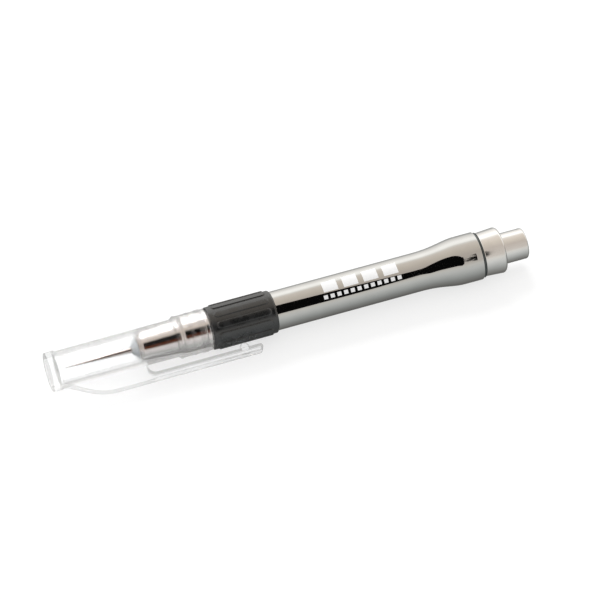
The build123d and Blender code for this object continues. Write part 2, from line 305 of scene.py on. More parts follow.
@dataclass(frozen=True)
class Finish:
    """A surface finish. A subclass says what its shader's sockets get.

    Its material's name ends in _finish, apart from the CAD nodes' own materials.
    """

    name: str

    def sockets(self, graph: Graph, place: bpy.types.NodeSocket) -> dict[str, object]:
        """Return the shader's inputs.

        Args:
            graph: the material's graph.
            place: object coordinates.

        Returns:
            Input names with their numbers, colours or links.
        """
        raise NotImplementedError

    def material(self) -> bpy.types.Material:
        """Build the finish, or return it if it is already built."""
        title = f"{self.name}_finish"
        known = bpy.data.materials.get(title)
        if known is not None:
            return known
        made, graph = empty_material(title)
        place = graph.node("ShaderNodeTexCoord").outputs["Object"]
        shader = graph.node("ShaderNodeBsdfPrincipled", sockets=self.sockets(graph, place))
        graph.node("ShaderNodeOutputMaterial", sockets={"Surface": shader.outputs[0]})
        return made


@dataclass(frozen=True)
class PrintedMark:
    """Plain white blocks over a thin broken line, printed on the barrel.

    Attributes:
        start: the print's front end along the pen, in millimetres.
        length: its length.
        turn: angle of its middle from straight up, in degrees.
        radius: the barrel's radius, in millimetres.
        blocks: how many blocks it has.
        block_height: a block's height round the barrel, in millimetres.
        line_drop: how far under the blocks' middle the line lies.
        line_height: the line's height.
        dashes: how many dashes the line has under each block.
        block_share: half a block's length, as a share of its spacing.
        dash_share: half a dash's length, as a share of its spacing.
    """

    place: Place
    start: float = 32.0
    length: float = 23.5
    turn: float = 16.2
    radius: float = 5.5
    blocks: int = 4
    block_height: float = 3.4
    line_drop: float = 3.1
    line_height: float = 1.1
    dashes: int = 3
    block_share: float = 0.36
    dash_share: float = 0.3

    def mask(self, graph: Graph, position: bpy.types.NodeSocket) -> Value:
        """Return 1 on the print and 0 elsewhere."""
        split = graph.node("ShaderNodeSeparateXYZ", sockets={0: position})
        x, y, z = (graph.value(split, i) for i in range(3))
        along = (x - (self.place.datum + self.start * MM)) / (self.length * MM)
        angle = (self.place.y - y).angle_to(z - self.place.z)
        down = (angle - math.radians(self.turn)) * self.radius
        inside = self._band(along - 0.5, 0.5)
        cell = abs((along * self.blocks).fraction() - 0.5)
        block = self._band(cell, self.block_share) * self._band(down, self.block_height / 2)
        dash = abs((along * self.blocks * self.dashes).fraction() - 0.5)
        line = self._band(dash, self.dash_share) * self._band(down - self.line_drop, self.line_height / 2)
        return (block + line) * inside

    def _band(self, value: Value, half: float) -> Value:
        """Return 1 where value is within half of 0, with a slightly soft edge."""
        return abs(value).ramp(half * 0.985, half * 1.015, 1.0, 0.0)


@dataclass(frozen=True)
class PolishedPlate(Finish):
    """Polished metal plate: faint clouding and fine polishing lines."""

    colour: Colour
    roughness: float = 0.05
    cloud: float = 0.05
    mark: PrintedMark | None = None

    def sockets(self, graph: Graph, place: bpy.types.NodeSocket) -> dict[str, object]:
        """Return the shader's inputs."""
        cloud = graph.noise(place, 260.0, 3.0)
        lines = graph.noise(graph.stretched(place, (9000.0, 500.0, 500.0)), 1.0, 2.0)
        dark = tuple(c * (1 - self.cloud) for c in self.colour[:3]) + (1.0,)
        colour = graph.mix_colour(cloud.ramp(0.3, 0.7), dark, self.colour)
        rough = self.roughness + cloud.ramp(0.35, 0.75) * 0.012 + lines.ramp(0.55, 0.8) * 0.01
        metallic: object = 1.0
        if self.mark is not None:
            print_on = self.mark.mask(graph, place)
            colour = graph.mix_colour(print_on, colour, (0.86, 0.86, 0.86, 1.0))
            rough = rough + print_on * 0.35
            metallic = 1 - print_on
        normal = graph.bump(lines, 0.01, 0.000004)
        return {"Base Color": colour, "Roughness": rough, "Metallic": metallic, "Normal": normal}


@dataclass(frozen=True)
class TurnedMetal(Finish):
    """Bare turned metal: fine lathe rings along the pen and a soft sheen."""

    colour: Colour
    roughness: float = 0.32
    ring_pitch: float = 0.06
    ring_depth: float = 0.25

    def sockets(self, graph: Graph, place: bpy.types.NodeSocket) -> dict[str, object]:
        """Return the shader's inputs."""
        split = graph.node("ShaderNodeSeparateXYZ", sockets={0: place})
        wobble = graph.noise(place, 900.0, 2.0)
        rings = (graph.value(split, 0) * (math.tau / (self.ring_pitch * MM)) + wobble * 3.0).sine()
        cloud = graph.noise(place, 420.0, 3.0)
        dark = tuple(c * 0.9 for c in self.colour[:3]) + (1.0,)
        colour = graph.mix_colour(cloud.ramp(0.3, 0.7), dark, self.colour)
        rough = self.roughness + cloud.ramp(0.3, 0.8) * 0.08
        normal = graph.bump(rings, self.ring_depth, 0.000006)
        return {"Base Color": colour, "Roughness": rough, "Metallic": 1.0, "Normal": normal}


@dataclass(frozen=True)
class MouldedRubber(Finish):
    """Matte moulded rubber: fine grain, faint dusty bloom in random patches."""

    colour: Colour
    bloom: Colour
    roughness: float = 0.22

    def sockets(self, graph: Graph, place: bpy.types.NodeSocket) -> dict[str, object]:
        """Return the shader's inputs."""
        grain = graph.noise(place, 5200.0, 3.0, 0.6)
        patches = graph.noise(place, 420.0, 4.0, 0.6)
        colour = graph.mix_colour(patches.ramp(0.42, 0.8), self.colour, self.bloom)
        rough = self.roughness + patches.ramp(0.3, 0.7) * 0.12
        normal = graph.bump(grain, 0.2, 0.00003)
        return {
            "Base Color": colour,
            "Roughness": rough,
            "Specular IOR Level": 0.8,
            "Normal": normal,
        }


@dataclass(frozen=True)
class ClearMoulding(Finish):
    """Clear moulded plastic: see-through and glossy, a touch denser in places."""

    colour: Colour = (0.992, 0.996, 1.0, 1.0)
    thick: Colour = (0.975, 0.985, 0.992, 1.0)
    ior: float = 1.4
    solid: float = 0.5

    def sockets(self, graph: Graph, place: bpy.types.NodeSocket) -> dict[str, object]:
        """Return the shader's inputs."""
        flow = graph.noise(place, 180.0, 2.0)
        return {
            "Base Color": graph.mix_colour(flow.ramp(0.3, 0.7), self.colour, self.thick),
            "Roughness": 0.0,
            "Transmission Weight": 1.0,
            "IOR": self.ior,
            "Alpha": self.solid,
        }


@dataclass(frozen=True)
class MattePlastic(Finish):
    """Machined pale plastic with faint tool marks."""

    colour: Colour
    roughness: float = 0.42

    def sockets(self, graph: Graph, place: bpy.types.NodeSocket) -> dict[str, object]:
        """Return the shader's inputs."""
        cloud = graph.noise(place, 700.0, 3.0)
        tool = graph.noise(graph.stretched(place, (12000.0, 900.0, 900.0)), 1.0)
        dark = tuple(c * 0.93 for c in self.colour[:3]) + (1.0,)
        colour = graph.mix_colour(cloud, dark, self.colour)
        normal = graph.bump(tool, 0.2, 0.00001)
        return {"Base Color": colour, "Roughness": self.roughness + cloud * 0.1, "Normal": normal}


class Tone(Enum):
    """The finishes that pieces choose from, by name."""

    BRIGHT_PLATE = PolishedPlate("bright_plate", (0.66, 0.652, 0.64, 1.0), 0.07)
    NOSE_PLATE = PolishedPlate("nose_plate", (0.66, 0.63, 0.62, 1.0), 0.05)
    NEEDLE_STEEL = PolishedPlate("needle_steel", (0.55, 0.50, 0.48, 1.0), 0.04)
    SATIN_ALLOY = TurnedMetal("satin_alloy", (0.74, 0.78, 0.82, 1.0), 0.38, 0.05, 0.2)
    TURNED_BRASS = TurnedMetal("turned_brass", (0.80, 0.58, 0.25, 1.0), 0.25)
    HARD_STEEL = TurnedMetal("hard_steel", (0.36, 0.36, 0.38, 1.0), 0.3)
    DRAWN_STEEL = TurnedMetal("drawn_steel", (0.60, 0.60, 0.62, 1.0), 0.25, 0.4, 0.1)
    CORE_ALLOY = TurnedMetal("core_alloy", (0.74, 0.74, 0.75, 1.0), 0.35)
    SPRING_WIRE = TurnedMetal("spring_wire", (0.55, 0.56, 0.58, 1.0), 0.2, 0.2, 0.1)
    GRIP_RUBBER = MouldedRubber("grip_rubber", (0.006, 0.007, 0.008, 1.0), (0.016, 0.018, 0.020, 1.0))
    SEAL_RUBBER = MouldedRubber("seal_rubber", (0.02, 0.03, 0.03, 1.0), (0.05, 0.06, 0.06, 1.0), 0.3)
    BUSH_PLASTIC = MattePlastic("bush_plastic", (0.80, 0.78, 0.70, 1.0))
    CLEAR = ClearMoulding("clear_plastic")


# ---- meshes --------------------------------------------------------------------
def add_piece(name: str, mesh: bpy.types.Mesh) -> bpy.types.Object:
    """Link a mesh to the scene as an object at the origin."""
    piece = bpy.data.objects.new(name, mesh)
    bpy.context.scene.collection.objects.link(piece)
    return piece


def rounded(corners: Sequence[tuple[float, float, float]], steps: int = 6) -> Outline:
    """Round the corners of an open or closed outline.

    Args:
        corners: (along, out, rounding) for each corner, in order.
        steps: segments in each rounded corner.

    Returns:
        The outline's (along, out) points.
    """
    points: Outline = []
    last = len(corners) - 1
    for index, (x, r, rounding) in enumerate(corners):
        if rounding <= 0 or index in (0, last):
            points.append((x, r))
            continue
        here = Vector((x, r))
        back = (Vector(corners[index - 1][:2]) - here).normalized()
        ahead = (Vector(corners[index + 1][:2]) - here).normalized()
        half = back.angle(ahead) / 2
        reach = rounding / math.tan(half)
        centre = here + (back + ahead).normalized() * (rounding / math.sin(half))
        start = here + back * reach - centre
        sweep = math.pi - 2 * half
        sign = 1.0 if start.x * ahead.y - start.y * ahead.x > 0 else -1.0
        for step in range(steps + 1):
            turn = sign * sweep * step / steps
            cos, sin = math.cos(turn), math.sin(turn)
            points.append((centre.x + start.x * cos - start.y * sin, centre.y + start.x * sin + start.y * cos))
    return points


def turned_mesh(name: str, outline: Outline, place: Place, sides: int = 192, crease: float = 30.0) -> bpy.types.Mesh:
    """Turn an outline about the pen's axis.

    Args:
        name: the mesh's name.
        outline: (along, out) points; a point with out 0 becomes a pole, and an
            outline that never meets the axis is closed into a ring.
        place: where the pen lies.
        sides: segments round the axis.
        crease: edges that turn by more degrees than this stay sharp.

    Returns:
        The closed mesh, with its faces pointing outwards.
    """
    shape = bmesh.new()
    rings: list[list[bmesh.types.BMVert]] = []
    for along, out in outline:
        count = 1 if out <= 0 else sides
        ring = [shape.verts.new(place.point(along, out, math.tau * i / count)) for i in range(count)]
        rings.append(ring)
    closed = all(len(ring) > 1 for ring in rings)
    pairs = list(zip(rings, rings[1:] + (rings[:1] if closed else [])))
    for first, second in pairs:
        for i in range(sides):
            j = (i + 1) % sides
            corner = [first[i % len(first)], first[j % len(first)], second[j % len(second)], second[i % len(second)]]
            face = list(dict.fromkeys(corner))
            if len(face) > 2:
                shape.faces.new(face)
    bmesh.ops.recalc_face_normals(shape, faces=shape.faces)
    mesh = bpy.data.meshes.new(name)
    shape.to_mesh(mesh)
    shape.free()
    smooth(mesh, crease)
    return mesh


def smooth(mesh: bpy.types.Mesh, crease: float) -> None:
    """Shade a mesh smooth, except over edges sharper than crease degrees."""
    mesh.polygons.foreach_set("use_smooth", [True] * len(mesh.polygons))
    mesh.set_sharp_from_angle(angle=math.radians(crease))


def ease(share: float) -> float:
    """Return an S-shaped rise from 0 to 1."""
    return share * share * (3 - 2 * share)


# ---- sub-assemblies --------------------------------------------------------------
@dataclass
class SubAssembly:
    """A group of pieces on the pen.

    Attributes:
        place: where the pen lies.
        made: the names of the pieces built so far.
    """

    place: Place
    made: list[str] = field(default_factory=list)

    def fit(self, mesh: bpy.types.Mesh, tone: Finish, body: str, slot: str, *nodes: str) -> bpy.types.Object:
        """Finish a piece and let it ride.

        Args:
            mesh: the piece's mesh, in the frame.
            tone: its finish.
            body: the body it moves with.
            slot: a material slot name; not used.
            nodes: the CAD nodes it stands for.

        Returns:
            The piece.
        """
        piece = add_piece(mesh.name, mesh)
        mesh.materials.clear()
        mesh.materials.append(tone.material())
        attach(piece, body)
        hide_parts(*nodes)
        self.made.append(piece.name)
        return piece

    def dress(self, node: str, tone: Finish) -> None:
        """Give a CAD node a finish."""
        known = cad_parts[node]
        for slot in known.material_slots:
            slot.material = tone.material()
        self.made.append(node)


@dataclass
class Nose(SubAssembly):
    """Satin tip, polished tapered sleeve and the needle.

    Attributes are radii and lengths in millimetres.
    """

    needle_r: float = 0.72
    running: float = 0.03
    point_r: float = 0.05
    tip_front_r: float = 1.13
    tip_back_r: float = 2.9
    tip_shank_r: float = 2.3
    shoulder_r: float = 3.73
    taper_r: float = 4.4
    seat_r: float = 4.87
    seat_length: float = 7.5
    seat_ramp: float = 1.2
    chamfer: float = 1.2
    groove_place: float = 1.8
    groove_width: float = 0.5
    groove_depth: float = 0.15
    chuck_r: float = 2.9
    spigot_r: float = 3.9
    spigot_length: float = 6.0

    def build(self) -> None:
        """Make the tip, the sleeve and the needle."""
        self.fit(self._tip(), Tone.SATIN_ALLOY.value, "barrel", "satin_alloy", "nose_tip")
        self.fit(self._sleeve(), Tone.NOSE_PLATE.value, "barrel", "bright_chrome", "nose_sleeve")
        self.fit(self._needle(), Tone.NEEDLE_STEEL.value, "needle", "needle_steel", "needle")

    def _tip(self) -> bpy.types.Mesh:
        """Turn the satin cone with its shank and bore."""
        front, back = self.place.span("nose_tip")
        cone_end = self.place.span("nose_sleeve")[0]
        bore = self.needle_r + self.running
        corners = [
            (front, bore, 0),
            (front, self.tip_front_r, 0.08),
            (cone_end, self.tip_back_r, 0.06),
            (cone_end, self.tip_shank_r, 0),
            (back, self.tip_shank_r, 0.1),
            (back, bore, 0),
        ]
        return turned_mesh("satin_tip", rounded(corners), self.place)

    def _sleeve(self) -> bpy.types.Mesh:
        """Turn the polished sleeve with its stepped bore."""
        front, back = self.place.span("nose_sleeve")
        shank_end = self.place.span("nose_tip")[1]
        groove_end = back - self.groove_place + self.groove_width
        groove_r = self.seat_r - self.groove_depth
        corners = [
            (front, self.tip_shank_r, 0),
            (front, self.tip_back_r, 0.05),
            (front + self.chamfer, self.shoulder_r, 0.5),
            (back - self.seat_length - self.seat_ramp, self.taper_r, 0.8),
            (back - self.seat_length, self.seat_r, 0.3),
            (back - self.groove_place, self.seat_r, 0.04),
            (back - self.groove_place, groove_r, 0.04),
            (groove_end, groove_r, 0.04),
            (groove_end, self.seat_r, 0.04),
            (back, self.seat_r, 0.06),
            (back, self.spigot_r, 0),
            (back - self.spigot_length, self.spigot_r, 0),
            (back - self.spigot_length, self.chuck_r, 0),
            (shank_end, self.chuck_r, 0),
            (shank_end, self.tip_shank_r, 0),
        ]
        return turned_mesh("polished_sleeve", rounded(corners), self.place)

    def _needle(self) -> bpy.types.Mesh:
        """Turn the needle: a long straight taper, a plain shank, a tiny round point."""
        point, tail = self.place.span("needle")
        base = self.place.span("nose_tip")[0]
        corners = [
            (point, 0, 0),
            (point, self.point_r, 0.04),
            (base, self.needle_r, 4.0),
            (tail, self.needle_r, 0.1),
            (tail, 0, 0),
        ]
        return turned_mesh("fine_needle", rounded(corners), self.place, sides=64, crease=50)


@dataclass
class Grip(SubAssembly):
    """Rubber grip with raised pads, made by a node tree over a plain sleeve."""

    core_r: float = 4.9
    base_r: float = 6.02
    end_round: float = 0.55
    pads: int = 12
    pad_first: float = 15.0
    pad_width: float = 1.8
    pad_margin: float = 1.5
    pad_rise: float = 0.28
    pad_edge: float = 0.13
    rows: int = 120

    def build(self) -> None:
        """Make the sleeve and raise its pads."""
        sleeve = add_piece("grip_blank", self._blank())
        mesh = self._raise_pads(sleeve)
        mesh.name = "ribbed_grip"
        self.fit(mesh, Tone.GRIP_RUBBER.value, "barrel", "black_rubber", "grip_sleeve")

    def _blank(self) -> bpy.types.Mesh:
        """Turn the plain sleeve, finely divided along its outside."""
        front, back = self.place.span("grip_sleeve")
        corners = [
            (front, self.core_r, 0),
            (front, self.base_r, 0.25),
            (back, self.base_r, self.end_round),
            (back, self.core_r, 0),
        ]
        outline = rounded(corners)
        start, end = outline[7], outline[8]
        step = (end[0] - start[0]) / self.rows
        along = [(start[0] + step * i, start[1]) for i in range(1, self.rows)]
        return turned_mesh("grip_blank", outline[:8] + along + outline[8:], self.place, sides=480)

    def _raise_pads(self, blank: bpy.types.Object) -> bpy.types.Mesh:
        """Run the node tree over the blank.

        Args:
            blank: the plain sleeve.

        Returns:
            The ribbed mesh. The blank is removed.
        """
        front, back = self.place.span("grip_sleeve")
        tree, ids = self._tree()
        modifier = blank.modifiers.new("pads", "NODES")
        modifier.node_group = tree
        sizes = {
            "Pads": float(self.pads),
            "First Angle": math.radians(self.pad_first),
            "Pad Width": self.pad_width * MM,
            "Pad Length": (back - front - 2 * self.pad_margin) * MM,
            "Rise": self.pad_rise * MM,
            "Edge": self.pad_edge * MM,
            "Radius": self.base_r * MM,
            "Middle X": self.place.datum + (front + back) / 2 * MM,
            "Axis Y": self.place.y,
            "Axis Z": self.place.z,
        }
        for name, size in sizes.items():
            modifier[ids[name]] = size
        graph = bpy.context.evaluated_depsgraph_get()
        mesh = bpy.data.meshes.new_from_object(blank.evaluated_get(graph))
        bpy.data.objects.remove(blank)
        smooth(mesh, 50)
        return mesh

    def _tree(self) -> tuple[bpy.types.NodeTree, dict[str, str]]:
        """Build the tree that raises stadium-shaped pads round a sleeve.

        Returns:
            The tree, and each input's identifier by its name.
        """
        names = (
            "Pads", "First Angle", "Pad Width", "Pad Length", "Rise", "Edge", "Radius", "Middle X", "Axis Y", "Axis Z",
        )
        tree, ids = geometry_tree("raised_pads", "Sleeve", names, "Grip")
        graph = Graph(tree)
        entry = graph.node("NodeGroupInput")
        size = {name: graph.value(entry, name) for name in names}
        split = graph.node("ShaderNodeSeparateXYZ", sockets={0: graph.node("GeometryNodeInputPosition").outputs[0]})
        x, y, z = (graph.value(split, i) for i in range(3))
        across, up = size["Axis Y"] - y, z - size["Axis Z"]
        radius = (across * across + up * up).root()
        pitch = math.tau / size["Pads"]
        turn = ((across.angle_to(up) - size["First Angle"]) / pitch + 0.5).fraction() - 0.5
        sideways = turn * pitch * size["Radius"]
        straight = (size["Pad Length"] - size["Pad Width"]) * 0.5
        beyond = (abs(x - size["Middle X"]) - straight).at_least(0.0)
        reach = (sideways * sideways + beyond * beyond).root() - size["Pad Width"] * 0.5
        share = (reach / size["Edge"]).ramp(-1.0, 0.0, 1.0, 0.0)
        outside = (radius / size["Radius"]).ramp(0.90, 0.97)
        lift = share * outside * size["Rise"] / radius
        move = graph.node("ShaderNodeCombineXYZ", sockets={1: (across * lift) * -1.0, 2: up * lift})
        moved = {"Geometry": entry.outputs["Sleeve"], "Offset": move.outputs[0]}
        raised = graph.node("GeometryNodeSetPosition", sockets=moved)
        real = graph.node("GeometryNodeRealizeInstances", sockets={0: raised.outputs[0]})
        finished = graph.node("GeometryNodeSetMaterial", sockets={"Geometry": real.outputs[0]})
        finished.inputs["Material"].default_value = Tone.GRIP_RUBBER.value.material()
        graph.node("NodeGroupOutput", sockets={0: finished.outputs[0]})
        return tree, ids


@dataclass
class Barrel(SubAssembly):
    """Dark chrome barrel with its flare, and the dark ring behind it."""

    radius: float = 5.5
    bore: float = 4.7
    rear_bore: float = 5.6
    neck_r: float = 6.80
    crown_r: float = 6.83
    flare_start: float = 19.2
    flare_length: float = 13.6
    flare_skew: float = 1.5
    crown: float = 1.8
    rear_bore_length: float = 7.0
    edge: float = 0.2
    ring_r: float = 6.4

    def build(self) -> None:
        """Make the barrel and the ring."""
        print_mark = PrintedMark(self.place)
        plate = PolishedPlate("dark_plate", (0.50, 0.50, 0.49, 1.0), 0.035, 0.04, print_mark)
        self.fit(self._tube(), plate, "barrel", "black_chrome", "barrel_tube")
        self.fit(self._ring(), Tone.SEAL_RUBBER.value, "barrel", "seal_rubber", "joint_ring")

    def _tube(self) -> bpy.types.Mesh:
        """Turn the barrel: straight, then swelling in an S to its crown."""
        front, back = self.place.span("barrel_tube")
        swell_from = back - self.flare_start
        steps = 48
        swell = []
        for step in range(1, steps):
            share = step / steps
            out = self.radius + (self.neck_r - self.radius) * ease(share**self.flare_skew)
            swell.append((swell_from + self.flare_length * share, out, 0.0))
        inner = back - self.rear_bore_length - 0.7
        corners = [
            (front, self.bore, 0),
            (front, self.radius, self.edge),
            (swell_from, self.radius, 0),
            *swell,
            (swell_from + self.flare_length, self.neck_r, 0),
            (back - self.crown, self.crown_r, 6.0),
            (back, self.neck_r, self.edge),
            (back, self.rear_bore, 0),
            (inner, self.rear_bore, 0),
            (inner, self.bore, 0),
        ]
        return turned_mesh("flared_barrel", rounded(corners), self.place, sides=256)

    def _ring(self) -> bpy.types.Mesh:
        """Turn the dark ring with a rounded outside."""
        front, back = self.place.span("joint_ring")
        corners = [
            (front, self.rear_bore, 0),
            (front, self.ring_r, 0.3),
            (back, self.ring_r, 0.3),
            (back, self.rear_bore, 0),
        ]
        return turned_mesh("dark_ring", rounded(corners), self.place)


@dataclass
class RearEnd(SubAssembly):
    """Bright end collar and the push button."""

    collar_r: float = 6.72
    draft: float = 0.2
    collar_round: float = 0.9
    front_round: float = 0.25
    spigot_r: float = 5.6
    bore: float = 4.95
    lip: float = 3.8
    button_r: float = 4.38
    clearance: float = 0.05
    flange_r: float = 4.9
    flange: float = 1.5
    socket_r: float = 2.2
    socket: float = 6.6
    button_round: float = 0.65

    def build(self) -> None:
        """Make the collar and the button."""
        bright = Tone.BRIGHT_PLATE.value
        self.fit(self._collar(), bright, "barrel", "bright_chrome", "end_collar")
        self.fit(self._button(), bright, "plunger", "bright_chrome", "push_button")

    def _collar(self) -> bpy.types.Mesh:
        """Turn the collar with its spigot, bore and lip."""
        spigot, back = self.place.span("end_collar")
        front = self.place.span("joint_ring")[1]
        lip_face = back - self.lip
        hole = self.button_r + self.clearance
        corners = [
            (spigot, self.bore, 0),
            (spigot, self.spigot_r, 0.1),
            (front, self.spigot_r, 0),
            (front, self.collar_r, self.front_round),
            (back, self.collar_r - self.draft, self.collar_round),
            (back, hole, 0.12),
            (lip_face, hole, 0),
            (lip_face, self.bore, 0),
        ]
        return turned_mesh("bright_collar", rounded(corners, 8), self.place, sides=256)

    def _button(self) -> bpy.types.Mesh:
        """Turn the button with its flange and blind socket."""
        front, back = self.place.span("push_button")
        corners = [
            (front + self.socket, 0, 0),
            (front + self.socket, self.socket_r, 0),
            (front, self.socket_r, 0),
            (front, self.flange_r, 0.1),
            (front + self.flange, self.flange_r, 0.1),
            (front + self.flange, self.button_r, 0),
            (back, self.button_r, self.button_round),
            (back, 0, 0),
        ]
        return turned_mesh("bright_button", rounded(corners, 8), self.place, sides=256)


@dataclass
class Clutch(SubAssembly):
    """Inner pieces: collet, draw tube, guides and the return spring."""

    wire_r: float = 0.25
    coil_r: float = 2.8
    turns: float = 11.0
    press_travel: float = 1.8

    def build(self) -> None:
        """Dress the inner CAD pieces and coil the spring."""
        tones = {
            "closing_ring": Tone.HARD_STEEL,
            "collet": Tone.TURNED_BRASS,
            "collet_lock_nut": Tone.TURNED_BRASS,
            "draw_tube": Tone.DRAWN_STEEL,
            "grip_core": Tone.CORE_ALLOY,
            "front_guide": Tone.BUSH_PLASTIC,
            "spring_washer": Tone.HARD_STEEL,
            "spring_collar": Tone.TURNED_BRASS,
            "retaining_clip": Tone.HARD_STEEL,
            "rear_guide": Tone.BUSH_PLASTIC,
        }
        for node, tone in tones.items():
            self.dress(node, tone.value)
        spring = self.fit(self._spring(), Tone.SPRING_WIRE.value, "plunger", "spring_wire", "return_spring")
        front, back = self.place.span("return_spring")
        pressed = 1 - self.press_travel / (back - front)
        self.place.point(back)
        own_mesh(spring)

    def _spring(self) -> bpy.types.Mesh:
        """Coil the spring with a node tree and return it as a plain mesh."""
        names = ("Turns", "Coil Radius", "Wire Radius", "Length")
        tree, ids = geometry_tree("coil_spring", "Seed", names, "Spring")
        graph = Graph(tree)
        entry = graph.node("NodeGroupInput")
        coil = graph.node(
            "GeometryNodeCurveSpiral",
            sockets={
                "Resolution": 28,
                "Rotations": entry.outputs["Turns"],
                "Start Radius": entry.outputs["Coil Radius"],
                "End Radius": entry.outputs["Coil Radius"],
                "Height": entry.outputs["Length"],
            },
        )
        circle = {"Resolution": 10, "Radius": entry.outputs["Wire Radius"]}
        wire = graph.node("GeometryNodeCurvePrimitiveCircle", sockets=circle)
        swept = graph.node(
            "GeometryNodeCurveToMesh",
            sockets={"Curve": coil.outputs[0], "Profile Curve": wire.outputs[0], "Fill Caps": True},
        )
        real = graph.node("GeometryNodeRealizeInstances", sockets={0: swept.outputs[0]})
        finished = graph.node("GeometryNodeSetMaterial", sockets={"Geometry": real.outputs[0]})
        finished.inputs["Material"].default_value = Tone.SPRING_WIRE.value.material()
        graph.node("NodeGroupOutput", sockets={0: finished.outputs[0]})
        front, back = self.place.span("return_spring")
        seed = add_piece("spring_seed", bpy.data.meshes.new("spring_seed"))
        modifier = seed.modifiers.new("coil", "NODES")
        modifier.node_group = tree
        length = back - front - 2 * self.wire_r
        sizes = (self.turns, self.coil_r * MM, self.wire_r * MM, length * MM)
        for name, size in zip(names, sizes):
            modifier[ids[name]] = size
        depsgraph = bpy.context.evaluated_depsgraph_get()
        mesh = bpy.data.meshes.new_from_object(seed.evaluated_get(depsgraph))
        bpy.data.objects.remove(seed)
        mesh.name = "coil_spring"
        start = self.place.point(front + self.wire_r)
        for vertex in mesh.vertices:
            x, y, z = vertex.co
            vertex.co = start + Vector((z, x, y))
        mesh.update()
        smooth(mesh, 50)
        return mesh


@dataclass
class Cap(SubAssembly):
    """Clear cap with its pocket clip."""

    def build(self) -> None:
        """Dress the cap."""
        self.dress("cap", Tone.CLEAR.value)


# ---- studio ----------------------------------------------------------------------
@dataclass(frozen=True)
class RayKind:
    """What a ray has met before it reaches a piece of the studio.

    Attributes:
        direct: 1 if it never passed through the clear cap.
        mirrored: 1 if it passed through the cap and was mirrored just once.
        soft: 1 if it lights a matte surface.
    """

    direct: Value
    mirrored: Value
    soft: Value

    @classmethod
    def read(cls, graph: Graph) -> "RayKind":
        """Work the three out for one material or world."""
        path = graph.node("ShaderNodeLightPath")
        passed = graph.value(path, "Transmission Depth")
        glossy = graph.value(path, "Glossy Depth")
        direct = passed.ramp(0.4, 0.6, 1.0, 0.0)
        mirrored = (1 - direct) * abs(glossy - 1.0).ramp(0.4, 0.6, 1.0, 0.0)
        return cls(direct, mirrored, graph.value(path, "Is Diffuse Ray"))


@dataclass(frozen=True)
class Card:
    """A dark card that only reflections see, facing the pen.

    Attributes:
        name: the card's name.
        outline: (along, up) corners in metres, on the card's own plane.
        colour: what its upper part reflects as.
        low_colour: what its lower part reflects as.
        inside: True if only pieces inside the clear cap mirror it, False if
            only pieces outside the cap do.
        distance: how far it stands from the pen, in metres.
        height: its elevation from the pen, in degrees.
    """

    name: str
    outline: tuple[tuple[float, float], ...]
    colour: Colour
    low_colour: Colour
    inside: bool
    distance: float = 0.5
    height: float = 39.5

    def build(self, place: Place) -> None:
        """Make the card, which only mirror reflections see.

        Args:
            place: where the pen lies.
        """
        tilt = math.radians(self.height)
        out = Vector((0, -math.cos(tilt), math.sin(tilt)))
        up = Vector((0, math.sin(tilt), math.cos(tilt)))
        centre = Vector((0, place.y, place.z)) + out * self.distance
        mesh = bpy.data.meshes.new(self.name)
        points = [centre + Vector((along, 0, 0)) + up * rise for along, rise in self.outline]
        mesh.from_pydata(points, [], [list(range(len(points)))])
        card = add_piece(self.name, mesh)
        made, graph = empty_material(self.name)
        upper = self._rise(graph, up, centre).ramp(-0.06, 0.02)
        colour = graph.mix_colour(upper, self.low_colour, self.colour)
        glow = graph.node("ShaderNodeEmission", sockets={"Color": colour, "Strength": 1.0})
        rays = RayKind.read(graph)
        shown = rays.mirrored if self.inside else rays.direct
        clear = graph.node("ShaderNodeBsdfTransparent")
        seen = graph.node("ShaderNodeMixShader", sockets={0: shown, 1: clear.outputs[0], 2: glow.outputs[0]})
        graph.node("ShaderNodeOutputMaterial", sockets={"Surface": seen.outputs[0]})
        mesh.materials.append(made)
        card.visible_camera = False
        card.visible_diffuse = False
        card.visible_shadow = False

    def _rise(self, graph: Graph, up: Vector, centre: Vector) -> Value:
        """Return how far up the card a point lies, in metres."""
        place = graph.node("ShaderNodeTexCoord").outputs["Object"]
        offset = graph.node("ShaderNodeVectorMath", {"operation": "SUBTRACT"}, {0: place, 1: centre})
        rise = graph.node("ShaderNodeVectorMath", {"operation": "DOT_PRODUCT"}, {0: offset.outputs[0], 1: up})
        return graph.value(rise, "Value")


